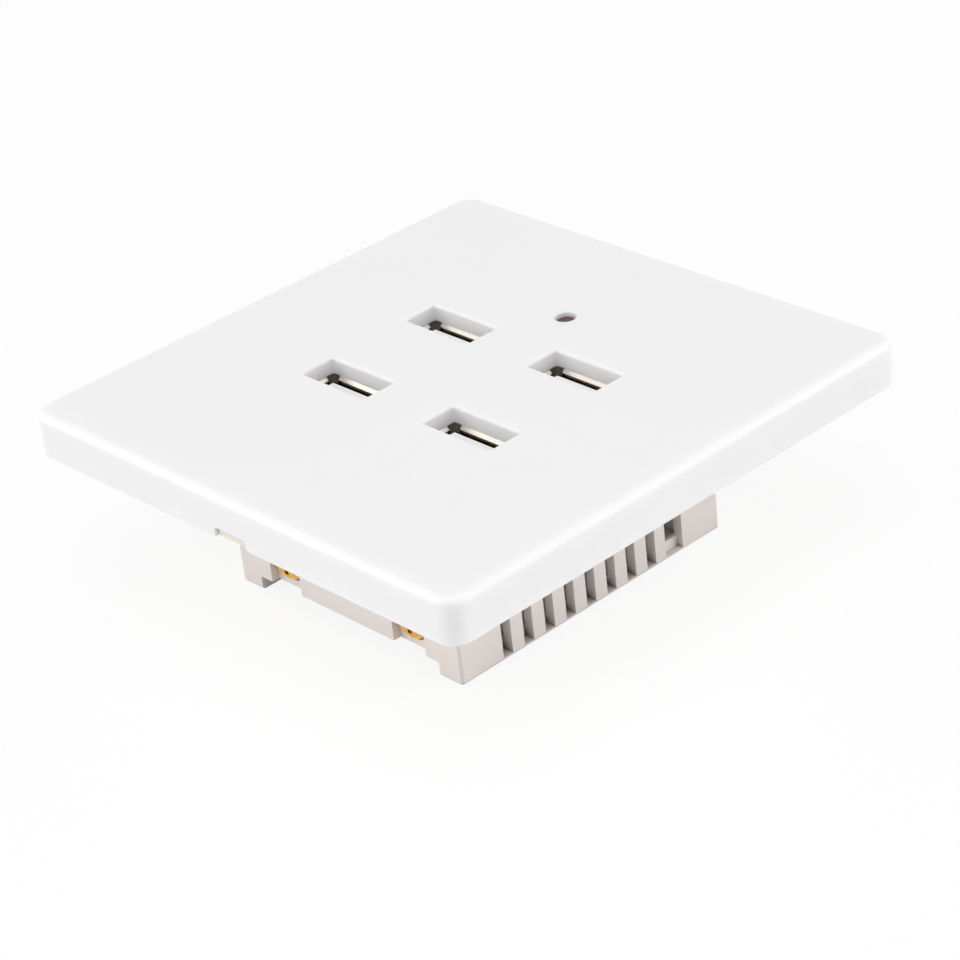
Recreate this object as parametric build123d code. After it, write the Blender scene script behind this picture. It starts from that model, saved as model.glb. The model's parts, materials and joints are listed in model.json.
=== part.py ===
"""Flush wall socket with USB charging ports, modelled piece by piece.

Frame: +X right and +Y up along the wall, +Z out of the wall, z = 0 on the wall plane.
Sizes are in millimetres.
"""
import os

from build123d import *

# Front cover: a plate for the standard 86 mm wall box
PLATE = 86.0
FACE_Z = 6.7
FACE_WALL = 2.6
SIDE_WALL = 1.6
PLATE_CORNER_R = 3.0
PLATE_EDGE_R = 1.2
PRY_WIDTH = 6.5
PRY_HEIGHT = 1.5
SNAP_LENGTH = 8.0
SNAP_SHIFT = 24.0
SNAP_HEIGHT = 0.2
SNAP_FLAT = 0.2
SNAP_RAMP = 0.5
SNAP_Z = 1.3

# USB ports: a grid of type A receptacles standing upright behind the cover
PORT_PITCH_X = 25.0
PORT_PITCH_Y = 20.0
WINDOW_WIDTH = 13.1
WINDOW_HEIGHT = 5.75
WINDOW_CORNER_R = 0.4
WINDOW_LIP_R = 0.5
SHELL_WIDTH = 13.1
SHELL_HEIGHT = 5.7
SHELL_WALL = 0.3
SHELL_CORNER_R = 0.65
SHELL_LENGTH = 10.5
LIP_DROP = 0.5
LIP_SPREAD = 0.5
LIP_CORNER = 1.3
LIP_NOTCH = 0.8
SHELL_LEG_WIDTH = 2.2
FINGER_WIDTH = 2.2
FINGER_LENGTH = 4.6
FINGER_SLIT = 0.4
FINGER_INSET = 3.35
TONGUE_WIDTH = 11.1
TONGUE_THICK = 1.84
TONGUE_RECESS = 0.5
INSULATOR_BASE = 3.4
CONTACT_XS = (-3.5, -1.0, 1.0, 3.5)
CONTACT_WIDTH = 1.0
CONTACT_THICK = 0.25
CONTACT_BOW = 0.45
CONTACT_SINK = 0.075
GROOVE_DEPTH = 0.35

# Indicator LED above the ports, set in from the upper end of the board
LED_INSET = 1.0
LED_R = 1.35
LED_EDGE_R = 0.2
LED_HOLE_R = 1.55
LED_LIP_R = 0.2
LED_RECESS = 0.6
LED_BASE_Z = -1.6
LED_FLANGE = 0.8
LED_LEAD_PITCH = 2.54
LEAD = 0.5
SOLDER_TAIL = 0.8

# Mounting frame that takes the wall screws
FRAME_THICK = 2.0
RIM_WALL = 1.4
RIM_DROP = 0.7
RIB_THICK = 1.2
RIB_DROP = 1.1
COLLAR_WALL = 1.4
WALL_SCREW_PITCH = 60.0
WALL_SLOT_LENGTH = 8.0
WALL_SLOT_WIDTH = 4.4
WALL_PAD_THICK = 1.3
WALL_PAD_MARGIN = 2.2
SKIRT_DEPTH = 3.5
SKIRT_WALL = 1.0
BOARD_POST_R = 2.0
BOARD_POST_INSET = 4.0
LATCH_WIDTH = 2.8
LATCH_THICK = 1.1
HOOK_LAND = 0.6
HOOK_LENGTH = 1.5

# Rear box, let into a shallow seat in the back of the frame
BOX_WIDTH = 45.8
BOX_LENGTH = 51.4
BOX_DEPTH = 22.6
BOX_SEAT = 0.5
BOX_WALL = 1.6
BOX_FLOOR = 1.8
BOX_CORNER_R = 0.6
BOX_FOOT_R = 0.5
CORNER_POST_INSET = 3.7
CORNER_POST_R = 3.0
VENT_COUNT = 8
VENT_WIDTH = 1.8
VENT_LOW_INSET = 8.7
VENT_CATCH_GAP = 4.7
VENT_TOP_Z = -5.0
CATCH_INSET = 9.5
CATCH_WIDTH = 3.5
CATCH_RECESS = 1.0
CATCH_RISE = 9.0
CATCH_SILL = 2.2

# Wiring bay, niches and screw clamps on the low side of the rear box
BAY_END_WIDTH = 4.4
BAY_REACH = 13.3
BAY_STEP = 2.2
BAY_FLOOR = 1.4
TERMINAL_INSET = 10.1
TERMINAL_LIFT = 6.3
NICHE_WIDTH = 6.4
NICHE_DEPTH = 1.25
NICHE_RISE = 3.6
NICHE_WALL = 1.15
HEAD_R = 2.85
HEAD_THICK = 1.6
HEAD_BEVEL = 0.5
HEAD_INSET = 0.35
SHANK_R = 1.75
NECK_R = 0.9
PEEN_R = 1.5
PEEN_THICK = 0.5
DRIVE_LENGTH = 3.8
DRIVE_WIDTH = 0.8
DRIVE_DEPTH = 0.9
CAGE_WIDTH = 7.4
CAGE_HEIGHT = 4.8
CAGE_SIDE = 0.8
CAGE_NUT = 1.3
CAGE_END = 1.0
CAGE_TRAVEL = 2.2
BAR_THICK = 1.0
BAR_WIDTH = 4.6
BAR_EAR_WIDTH = 9.2
BAR_EAR_LIFT = 0.6
BAR_TAIL_WIDTH = 1.6
WIRE_GAP = 3.2
WIRE_HOLE_WIDTH = 5.6
WIRE_HOLE_LENGTH = 4.8
GUIDE_WALL = 1.0

# Circuit board and fasteners
BOARD_THICK = 1.6
BOARD_SIDE_GAP = 1.6
BOARD_END_GAP = 2.1
CASE_SCREW_R = 1.3
CASE_SCREW_LENGTH = 12.0
CASE_HEAD_R = 2.5
BOARD_SCREW_R = 1.0
BOARD_SCREW_LENGTH = 6.0
BOARD_HEAD_R = 1.9
BOARD_HEAD_THICK = 1.3
PAN_SIDE = 0.55
PAN_TOP = 0.72
PAN_DRIVE = 0.55
POINT_TIP = 0.4
POINT_TAPER = 1.5

# Converter parts behind the board
CORE_WIDTH = 13.3
CORE_LENGTH = 12.2
CORE_LEG = 1.9
CORE_CENTRE = 2.8
CORE_LIFT = 2.5
CORE_Y = 1.0
BOBBIN_WALL = 0.6
FLANGE_THICK = 0.8
FLANGE_LIP = 1.7
RAIL_HEIGHT = 2.2
RAIL_WIDTH = 12.0
WINDING_MARGIN = 0.6
WINDING_CORNER_R = 1.6
PIN_WIDTH = 0.6
PIN_ROW = 9.0
PIN_INSET = 1.0
INPUT_CAN_R = 4.0
INPUT_CAN_LENGTH = 12.0
LEAD_REACH = 1.2
DISC_R = 3.5
DISC_THICK = 2.6
DISC_LIFT = 1.5
FUSE_WIDTH = 8.3
FUSE_LENGTH = 4.0
FUSE_HEIGHT = 7.6
FUSE_CORNER_R = 1.0
CHOKE_GAP = 1.1
CHOKE_WAIST = 0.55
CHOKE_COIL = 0.9
CHOKE_DISC = 1.45
BRIDGE_SIZE = (4.7, 3.6, 2.4)
CONTROLLER_SIZE = (4.9, 3.8, 1.5)
DIODE_SIZE = (5.6, 3.6, 2.2)
OPTO_SIZE = (4.4, 2.6, 2.0)
PORT_CHIP_SIZE = (2.9, 1.6, 1.1)
RESISTOR_SIZE = (1.6, 0.8, 0.5)
RESISTOR_SHIFT_X = 2.5
RESISTOR_SHIFT_Y = 4.5
CHIP_STANDOFF = 0.1
CHIP_TAPER = 5
CHIP_LEAD_REACH = 0.6
CHIP_LEAD_ROOT = 0.2
CHIP_LEAD_THICK = 0.35

# Clearances
COVER_GAP = 0.25
SLIDE_GAP = 0.3
SEAT_GAP = 0.1
FLAT_GAP = 0.15
THREAD_GAP = 0.05
PART_GAP = 0.3
POST_GAP = 0.5
HEAD_GAP = 0.4
SCREW_GAP = 0.2
TALL_GAP = 1.5
CAN_TOP_GAP = 2.9
EDGE_GAP = 0.8

# Cover, frame and board levels
FACE_BACK_Z = FACE_Z - FACE_WALL
COVER_INSIDE = PLATE - 2 * SIDE_WALL
COVER_INSIDE_R = PLATE_CORNER_R - SIDE_WALL
FRAME_WIDTH = COVER_INSIDE - 2 * COVER_GAP
RIM_Z = FACE_BACK_Z - RIM_DROP
RIB_Z = FACE_BACK_Z - RIB_DROP
COLLAR_Z = FACE_BACK_Z - SLIDE_GAP
CASE_HEAD_THICK = FACE_BACK_Z - FRAME_THICK - HEAD_GAP
MOUTH_Z = FACE_BACK_Z - SEAT_GAP
BOARD_FRONT_Z = MOUTH_Z - SHELL_LENGTH
BOARD_BACK_Z = BOARD_FRONT_Z - BOARD_THICK
TONGUE_FRONT_Z = MOUTH_Z - TONGUE_RECESS
BASE_TOP_Z = BOARD_FRONT_Z + INSULATOR_BASE
SHELL_IN_WIDTH = SHELL_WIDTH - 2 * SHELL_WALL
SHELL_IN_HEIGHT = SHELL_HEIGHT - 2 * SHELL_WALL
FINGER_PITCH = SHELL_WIDTH - 2 * FINGER_INSET
LEG_X = (SHELL_WIDTH - SHELL_WALL) / 2
LIP_Z = MOUTH_Z - LIP_DROP
TUBE_END_Z = LIP_Z - LIP_NOTCH
PORT_HOLE_WIDTH = SHELL_WIDTH + 2 * (LIP_SPREAD + FLAT_GAP)
PORT_HOLE_HEIGHT = SHELL_HEIGHT + 2 * (LIP_SPREAD + FLAT_GAP)
CONTACT_BACK_Y = GROOVE_DEPTH - CONTACT_SINK

# Rear box, board and terminal places
BOX_IN_WIDTH = BOX_WIDTH - 2 * BOX_WALL
BOX_IN_LENGTH = BOX_LENGTH - 2 * BOX_WALL
BOX_BACK_Z = -BOX_DEPTH
FLOOR_Z = BOX_BACK_Z + BOX_FLOOR
BOX_LOW_Y = -BOX_LENGTH / 2
CORNER_POST_X = BOX_WIDTH / 2 - CORNER_POST_INSET
CORNER_POST_Y = BOX_LENGTH / 2 - CORNER_POST_INSET
CATCH_Y = BOX_LENGTH / 2 - CATCH_INSET
CATCH_TOP_Z = BOX_BACK_Z + CATCH_RISE
VENT_LOW_Y = BOX_LOW_Y + VENT_LOW_INSET
VENT_PITCH = (CATCH_Y - VENT_CATCH_GAP - VENT_LOW_Y) / (VENT_COUNT - 1)
BOARD_WIDTH = BOX_IN_WIDTH - 2 * BOARD_SIDE_GAP
BOARD_LENGTH = BOX_IN_LENGTH - 2 * BOARD_END_GAP
BOARD_POST_X = BOARD_WIDTH / 2 - BOARD_POST_INSET
BOARD_POST_Y = (PORT_PITCH_Y / 2 + SHELL_HEIGHT / 2 + BOARD_LENGTH / 2) / 2
LED_Y = BOARD_LENGTH / 2 - LED_INSET
BAY_WIDTH = BOX_WIDTH - 2 * BAY_END_WIDTH
BAY_BACK_Z = BOX_BACK_Z + BAY_STEP
BAY_FLOOR_Z = BAY_BACK_Z + BAY_FLOOR
BAY_END_Y = BOX_LOW_Y + BAY_REACH
TERMINAL_X = BOX_WIDTH / 2 - TERMINAL_INSET
TERMINAL_Z = BOX_BACK_Z + TERMINAL_LIFT
NICHE_TOP_Z = TERMINAL_Z + NICHE_RISE
NICHE_Y = BOX_LOW_Y + NICHE_DEPTH
NICHE_BACK_Y = NICHE_Y + NICHE_WALL
CAGE_Y = NICHE_BACK_Y + FLAT_GAP + CAGE_TRAVEL
BAR_Y = CAGE_Y + CAGE_NUT + SLIDE_GAP
CAGE_END_Y = BAR_Y + BAR_THICK + WIRE_GAP
WIRE_Y = BAR_Y + BAR_THICK + WIRE_GAP / 2
CHAMBER_END_Y = CAGE_END_Y + CAGE_END + SLIDE_GAP
GUIDE_X = CAGE_WIDTH / 2 + FLAT_GAP
GUIDE_TOP_Z = BOARD_BACK_Z - BOARD_HEAD_THICK - SCREW_GAP
EAR_Z = TERMINAL_Z + CAGE_HEIGHT / 2 + BAR_EAR_LIFT

# Converter layout: rows along both ends of the board and both sides of the transformer
ROOM = BOARD_BACK_Z - FLOOR_Z
FLANGE_HEIGHT = ROOM - TALL_GAP
CORE_THICK = FLANGE_HEIGHT - CORE_LIFT - FLANGE_LIP
CORE_MID_Z = CORE_LIFT + CORE_THICK / 2
CORE_WINDOW = (CORE_WIDTH - 2 * CORE_LEG - CORE_CENTRE) / 2
CORE_SPAN = CORE_LENGTH - 2 * CORE_LEG
BOBBIN_SPAN = CORE_SPAN - 2 * SEAT_GAP
TUBE_WIDTH = CORE_CENTRE + 2 * SEAT_GAP + 2 * BOBBIN_WALL
TUBE_HEIGHT = CORE_THICK + 2 * SEAT_GAP + 2 * BOBBIN_WALL
FLANGE_WIDTH = CORE_CENTRE + 2 * CORE_WINDOW - 2 * SEAT_GAP
OUTPUT_CAN_LENGTH = ROOM - CAN_TOP_GAP
OUTPUT_CAN_R = (BOARD_WIDTH / 2 - CORE_WIDTH / 2 - 2 * PART_GAP) / 4
OUTPUT_CAN_X = CORE_WIDTH / 2 + PART_GAP + OUTPUT_CAN_R
SIDE_X = (CORE_WIDTH + BOARD_WIDTH) / 4
UPPER_ROW_X = BOARD_POST_X - BOARD_HEAD_R - PART_GAP
UPPER_ROW_Y = BOARD_LENGTH / 2 - INPUT_CAN_R
OPTO_X = UPPER_ROW_X - CHIP_LEAD_REACH - OPTO_SIZE[1] / 2
CHOKE_LOW_X = INPUT_CAN_LENGTH + LEAD_REACH - UPPER_ROW_X
CHOKE_HIGH_X = OPTO_X - OPTO_SIZE[1] / 2 - CHIP_LEAD_REACH
CHOKE_X = (CHOKE_LOW_X + CHOKE_HIGH_X) / 2
CHOKE_R = (CHOKE_HIGH_X - CHOKE_LOW_X) / 2 - CHOKE_GAP
CHOKE_HEIGHT = ROOM - CAN_TOP_GAP
FUSE_Y = EDGE_GAP + FUSE_LENGTH / 2 - BOARD_LENGTH / 2
BRIDGE_Y = FUSE_Y + FUSE_LENGTH / 2 + PART_GAP + CHIP_LEAD_REACH + BRIDGE_SIZE[1] / 2
DISC_Y = BRIDGE_Y + BRIDGE_SIZE[1] / 2 + CHIP_LEAD_REACH + PART_GAP + DISC_THICK / 2
CONTROLLER_Y = OUTPUT_CAN_R + PART_GAP + CHIP_LEAD_REACH + CONTROLLER_SIZE[1] / 2
DIODE_Y = -(OUTPUT_CAN_R + PART_GAP + CHIP_LEAD_REACH + DIODE_SIZE[1] / 2)

# Places that repeat
SIDES = (-1, 1)
QUARTERS = (0, 90, 180, 270)
CROSS = (0, 90)
PORT_PLACES = [Pos(x * PORT_PITCH_X / 2, y * PORT_PITCH_Y / 2) for y in (1, -1) for x in SIDES]
CORNER_PLACES = [Pos(x * CORNER_POST_X, y * CORNER_POST_Y) for x in SIDES for y in SIDES]
BOARD_POST_PLACES = [Pos(x * BOARD_POST_X, y * BOARD_POST_Y) for x in SIDES for y in SIDES]
SNAP_PLACES = [Rot(0, 0, turn) * Pos(0, side * SNAP_SHIFT) for turn in QUARTERS for side in SIDES]
PIN_PLACES = [Pos(x * PIN_ROW / 6, CORE_Y + y * (CORE_LENGTH / 2 - PIN_INSET))
              for y in SIDES for x in (-3, -1, 1, 3)]


def block(width, length, z_low, z_high, radius=0.0):
    """Upright prism on a centred rectangle, with rounded corners if a radius is given."""
    outline = RectangleRounded(width, length, radius) if radius > 0 else Rectangle(width, length)
    return Pos(0, 0, z_low) * extrude(outline, z_high - z_low)


def slab(x_low, x_high, y_low, y_high, z_low, z_high):
    """Plain prism between two corners."""
    middle = Pos((x_low + x_high) / 2, (y_low + y_high) / 2)
    return middle * block(x_high - x_low, y_high - y_low, z_low, z_high)


def rod(radius, z_low, z_high):
    """Upright cylinder on the Z axis."""
    return Pos(0, 0, z_low) * extrude(Circle(radius), z_high - z_low)


def turned(points):
    """Solid of revolution about Z from (radius, height) points."""
    return revolve(Plane.XZ * make_face(Polyline(*points, close=True)), Axis.Z)


def wall_profile(points, width):
    """Prism of the given width along Y from (x, z) points."""
    return extrude(Plane.XZ * make_face(Polyline(*points, close=True)), width / 2, both=True)


def along_y(sketch, y_low, y_high):
    """Prism along Y from a sketch whose axes are X and Z."""
    return Pos(0, y_high, 0) * extrude(Plane.XZ * sketch, y_high - y_low)


def copies(piece, places):
    """One group of solids: the piece at every place."""
    solids = [place * piece for place in places]
    return solids[0] + solids[1:]


def behind(piece, x, y):
    """Turn a piece that stands on z = 0 round to hang from the back of the board."""
    return Pos(x, y, BOARD_BACK_Z) * Rot(180, 0, 0) * piece


def front_cover():
    """Snap-on cover: a rounded plate shell with port windows, LED hole and pry notch."""
    shell = block(PLATE, PLATE, 0, FACE_Z, PLATE_CORNER_R)
    shell = fillet(shell.edges().group_by(Axis.Z)[-1], PLATE_EDGE_R)
    cover = shell - block(COVER_INSIDE, COVER_INSIDE, 0, FACE_BACK_Z, COVER_INSIDE_R)
    window = block(WINDOW_WIDTH, WINDOW_HEIGHT, FACE_BACK_Z, FACE_Z, WINDOW_CORNER_R)
    for place in PORT_PLACES:
        cover -= place * window
    flat_half = PLATE / 2 - 2 * PLATE_EDGE_R
    face_edges = cover.edges().group_by(Axis.Z)[-1]
    rims = [e for e in face_edges if max(abs(e.center().X), abs(e.center().Y)) < flat_half]
    cover = fillet(rims, WINDOW_LIP_R)
    cover -= Pos(0, LED_Y) * rod(LED_HOLE_R, FACE_BACK_Z, FACE_Z)
    led_rim = cover.edges().group_by(Axis.Z)[-1].sort_by_distance((0, LED_Y, FACE_Z))[0]
    cover = fillet(led_rim, LED_LIP_R)

    notch = Plane.XZ * RectangleRounded(PRY_WIDTH, 2 * PRY_HEIGHT, PRY_HEIGHT / 3)
    cover -= Pos(0, -COVER_INSIDE / 2, 0) * extrude(notch, 2 * SIDE_WALL, both=True)
    root = COVER_INSIDE / 2 + SNAP_HEIGHT
    crest = COVER_INSIDE / 2 - SNAP_HEIGHT
    flat = SNAP_FLAT / 2
    ridge = wall_profile([(root, SNAP_Z - flat - SNAP_RAMP), (crest, SNAP_Z - flat),
                          (crest, SNAP_Z + flat), (root, SNAP_Z + flat + SNAP_RAMP)], SNAP_LENGTH)
    for place in SNAP_PLACES:
        cover += place * ridge
    return cover


def latch_arm():
    """Arm of the frame that hooks into the catch window on the +X side of the rear box."""
    outer = BOX_IN_WIDTH / 2 - SLIDE_GAP
    inner = outer - LATCH_THICK
    tip = BOX_WIDTH / 2 - CATCH_RECESS - SEAT_GAP
    top = CATCH_TOP_Z - SEAT_GAP
    points = [(inner, FRAME_THICK / 2), (outer, FRAME_THICK / 2), (outer, top), (tip, top),
              (tip, top - HOOK_LAND), (outer, top - HOOK_LENGTH), (inner, top - HOOK_LENGTH)]
    return Pos(0, CATCH_Y) * wall_profile(points, LATCH_WIDTH)


def frame_plate():
    """Plate of the frame with its rim, ribs, snap grooves and the seat for the rear box."""
    rim_inside = FRAME_WIDTH - 2 * RIM_WALL
    plate = block(FRAME_WIDTH, FRAME_WIDTH, 0, RIM_Z, COVER_INSIDE_R)
    plate -= block(rim_inside, rim_inside, FRAME_THICK, RIM_Z)
    for side in SIDES:
        plate += Pos(side * BOX_WIDTH / 2) * block(RIB_THICK, rim_inside, FRAME_THICK, RIB_Z)
        plate += Pos(0, side * BOX_LENGTH / 2) * block(rim_inside, RIB_THICK, FRAME_THICK, RIB_Z)
    reach = SNAP_FLAT / 2 + SNAP_RAMP + SEAT_GAP
    groove = Pos(FRAME_WIDTH / 2) * block(4 * SNAP_HEIGHT, SNAP_LENGTH + 2 * SLIDE_GAP,
                                          SNAP_Z - reach, SNAP_Z + reach)
    for place in SNAP_PLACES:
        plate -= place * groove
    return plate - block(BOX_WIDTH + 2 * FLAT_GAP, BOX_LENGTH + 2 * FLAT_GAP, 0, BOX_SEAT,
                         BOX_CORNER_R + FLAT_GAP)


def mounting_frame():
    """Frame with port collars, wall-screw slots, skirt, latch arms and posts for the board."""
    frame = frame_plate()
    pad_length = WALL_SLOT_LENGTH + 2 * WALL_PAD_MARGIN
    pad_width = WALL_SLOT_WIDTH + 2 * WALL_PAD_MARGIN
    pocket = Pos(0, 0, WALL_PAD_THICK) * extrude(SlotOverall(pad_length, pad_width), FRAME_THICK)
    slot = extrude(SlotOverall(WALL_SLOT_LENGTH, WALL_SLOT_WIDTH), FRAME_THICK)
    rail_x = BOX_IN_WIDTH / 2 - SLIDE_GAP - SKIRT_WALL / 2
    rail_y = BOX_IN_LENGTH / 2 - SLIDE_GAP - SKIRT_WALL / 2
    rail_span = 2 * (CATCH_Y - LATCH_WIDTH) - LATCH_THICK
    arm = latch_arm()
    for side in SIDES:
        frame -= Pos(side * WALL_SCREW_PITCH / 2) * (pocket + slot)
        frame += Pos(side * rail_x) * block(SKIRT_WALL, rail_span, -SKIRT_DEPTH, FRAME_THICK / 2)
        frame += Pos(0, side * rail_y) * block(rail_span, SKIRT_WALL, -SKIRT_DEPTH, FRAME_THICK / 2)
    frame += arm
    frame += mirror(arm, about=Plane.YZ)

    collar = block(PORT_HOLE_WIDTH + 2 * COLLAR_WALL, PORT_HOLE_HEIGHT + 2 * COLLAR_WALL,
                   FRAME_THICK, COLLAR_Z, COLLAR_WALL)
    port_hole = block(PORT_HOLE_WIDTH, PORT_HOLE_HEIGHT, -SKIRT_DEPTH, COLLAR_Z, SHELL_CORNER_R)
    for place in PORT_PLACES:
        frame += place * collar
        frame -= place * port_hole
    frame += Pos(0, LED_Y) * rod(LED_R + SLIDE_GAP + COLLAR_WALL, FRAME_THICK, COLLAR_Z)
    frame -= Pos(0, LED_Y) * rod(LED_R + SLIDE_GAP, 0, COLLAR_Z)
    for place in BOARD_POST_PLACES:
        frame += place * rod(BOARD_POST_R, BOARD_FRONT_Z, FRAME_THICK / 2)
        frame -= place * rod(BOARD_SCREW_R + THREAD_GAP, BOARD_FRONT_Z, -FRAME_THICK / 2)
    for place in CORNER_PLACES:
        frame -= place * rod(CASE_SCREW_R + FLAT_GAP, 0, FRAME_THICK)
    return frame


def terminal_walls():
    """Block inside the rear box that a clamp cage slides in, slotted for the ears of its bar."""
    reach = GUIDE_X + GUIDE_WALL
    walls = slab(-reach, reach, BOX_LOW_Y + BOX_WALL / 2, CHAMBER_END_Y + GUIDE_WALL,
                 BAY_FLOOR_Z - BAY_FLOOR / 2, GUIDE_TOP_Z)
    ear = BAR_EAR_WIDTH / 2 + SEAT_GAP
    return walls - slab(-ear, ear, BAR_Y - SEAT_GAP, BAR_Y + BAR_THICK + SEAT_GAP, EAR_Z, GUIDE_TOP_Z)


def side_cuts():
    """Vents and catch window in the +X wall of the rear box."""
    inner = BOX_IN_WIDTH / 2 - SLIDE_GAP
    outer = BOX_WIDTH / 2 + SLIDE_GAP
    low_z = BOX_BACK_Z + BOX_FOOT_R
    y_low = CATCH_Y - CATCH_WIDTH / 2
    y_high = CATCH_Y + CATCH_WIDTH / 2
    cuts = slab(BOX_WIDTH / 2 - CATCH_RECESS, outer, y_low, y_high, low_z, CATCH_TOP_Z)
    cuts += slab(inner, outer, y_low, y_high, BOX_BACK_Z + CATCH_SILL, CATCH_TOP_Z)
    vent = slab(inner, outer, -VENT_WIDTH / 2, VENT_WIDTH / 2, low_z, VENT_TOP_Z)
    for spot in range(VENT_COUNT):
        cuts += Pos(0, VENT_LOW_Y + spot * VENT_PITCH) * vent
    return cuts


def rear_box():
    """Vented rear box with corner posts, catch windows and the stepped wiring bay."""
    body = block(BOX_WIDTH, BOX_LENGTH, BOX_BACK_Z, BOX_SEAT, BOX_CORNER_R)
    body = fillet(body.edges().group_by(Axis.Z)[0], BOX_FOOT_R)
    body -= block(BOX_IN_WIDTH, BOX_IN_LENGTH, FLOOR_Z, BOX_SEAT)
    half_bay = BAY_WIDTH / 2
    body += slab(-half_bay - BAY_FLOOR, half_bay + BAY_FLOOR, BOX_LOW_Y + BOX_WALL / 2,
                 BAY_END_Y + BAY_FLOOR, FLOOR_Z - BOX_FLOOR / 2, BAY_FLOOR_Z)
    for place in CORNER_PLACES:
        body += place * rod(CORNER_POST_R, FLOOR_Z - BOX_FLOOR / 2, BOX_SEAT)
    for side in SIDES:
        body += Pos(side * TERMINAL_X) * terminal_walls()
    body -= slab(-half_bay, half_bay, BOX_LOW_Y - BAY_STEP, BAY_END_Y, BOX_BACK_Z - BAY_STEP, BAY_BACK_Z)

    niche = slab(-NICHE_WIDTH / 2, NICHE_WIDTH / 2, BOX_LOW_Y - NICHE_DEPTH, NICHE_Y,
                 BOX_BACK_Z, NICHE_TOP_Z)
    bore = Rot(-90, 0, 0) * rod(HEAD_R + SLIDE_GAP, NICHE_Y, NICHE_BACK_Y)
    chamber = slab(-GUIDE_X, GUIDE_X, NICHE_BACK_Y, CHAMBER_END_Y, BAY_FLOOR_Z, GUIDE_TOP_Z)
    wire_hole = block(WIRE_HOLE_WIDTH, WIRE_HOLE_LENGTH, BAY_BACK_Z, BAY_FLOOR_Z, WIRE_HOLE_LENGTH / 4)
    terminal = niche + Pos(0, 0, TERMINAL_Z) * bore + chamber + Pos(0, WIRE_Y) * wire_hole
    for side in SIDES:
        body -= Pos(side * TERMINAL_X) * terminal

    cuts = side_cuts()
    body -= cuts
    body -= mirror(cuts, about=Plane.YZ)
    port_space = block(PORT_HOLE_WIDTH, PORT_HOLE_HEIGHT, BOARD_FRONT_Z, BOX_SEAT)
    for place in PORT_PLACES:
        body -= place * port_space
    hole_z = FRAME_THICK - CASE_SCREW_LENGTH - CASE_SCREW_R
    for place in CORNER_PLACES:
        body -= place * rod(CASE_SCREW_R + THREAD_GAP, hole_z, BOX_SEAT)
    return body


def flared_lip(span, length, turn):
    """Lip on one side of a shell's mouth, bent outwards and stopping short of the corners."""
    outer = span / 2
    inner = outer - SHELL_WALL
    profile = [(inner, TUBE_END_Z), (outer, TUBE_END_Z), (outer, LIP_Z), (outer + LIP_SPREAD, MOUTH_Z),
               (inner + LIP_SPREAD, MOUTH_Z), (inner, LIP_Z)]
    return Rot(0, 0, turn) * wall_profile(profile, length - 2 * LIP_CORNER)


def usb_shell():
    """Drawn receptacle shell: a thin tube with flared lips, sprung fingers and two board legs."""
    shell = block(SHELL_WIDTH, SHELL_HEIGHT, BOARD_FRONT_Z, TUBE_END_Z, SHELL_CORNER_R)
    shell -= block(SHELL_IN_WIDTH, SHELL_IN_HEIGHT, BOARD_FRONT_Z, TUBE_END_Z, SHELL_CORNER_R - SHELL_WALL)
    outer = Rectangle(FINGER_WIDTH + 2 * FINGER_SLIT, FINGER_LENGTH)
    finger = outer - Pos(0, -FINGER_SLIT) * Rectangle(FINGER_WIDTH, FINGER_LENGTH)
    middle_z = (BASE_TOP_Z + MOUTH_Z) / 2
    for side in SIDES:
        slit = Plane.XZ * (Pos(side * FINGER_PITCH / 2, middle_z) * finger)
        shell -= extrude(slit, SHELL_HEIGHT, both=True)
        shell += Pos(side * LEG_X) * block(SHELL_WALL, SHELL_LEG_WIDTH, BOARD_BACK_Z - SOLDER_TAIL,
                                           BOARD_FRONT_Z)
        shell += flared_lip(SHELL_WIDTH, SHELL_HEIGHT, 90 - 90 * side)
        shell += flared_lip(SHELL_HEIGHT, SHELL_WIDTH, 90 * side)
    return shell


def usb_insulator():
    """Moulded base and tongue, grooved for the contacts; the tongue is on the upper half."""
    base = block(SHELL_IN_WIDTH - 2 * SEAT_GAP, SHELL_IN_HEIGHT - 2 * SEAT_GAP, BOARD_FRONT_Z,
                 BASE_TOP_Z, SHELL_WALL)
    tongue = block(TONGUE_WIDTH, TONGUE_THICK, BASE_TOP_Z, TONGUE_FRONT_Z)
    tongue = chamfer(tongue.edges().group_by(Axis.Z)[-1], SHELL_WALL)
    piece = base + Pos(0, TONGUE_THICK / 2) * tongue
    groove = block(CONTACT_WIDTH + 2 * SEAT_GAP, GROOVE_DEPTH, BOARD_FRONT_Z, TONGUE_FRONT_Z - TONGUE_RECESS)
    for x in CONTACT_XS:
        piece -= Pos(x, GROOVE_DEPTH / 2) * groove
    return piece


def usb_contacts():
    """Bowed spring contacts with straight tails through the board."""
    tail_z = BOARD_BACK_Z - SOLDER_TAIL
    root_z = BASE_TOP_Z + SEAT_GAP
    tip_z = TONGUE_FRONT_Z - 2 * TONGUE_RECESS
    middle_z = (root_z + tip_z) / 2
    back = CONTACT_BACK_Y
    front = back - CONTACT_THICK
    line = [(back, tail_z), (back, root_z), (back - CONTACT_BOW, middle_z), (back, tip_z),
            (front, tip_z), (front - CONTACT_BOW, middle_z), (front, root_z), (front, tail_z)]
    strip = extrude(Plane.YZ * make_face(Polyline(*line, close=True)), CONTACT_WIDTH / 2, both=True)
    return copies(strip, [Pos(x) for x in CONTACT_XS])


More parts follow.
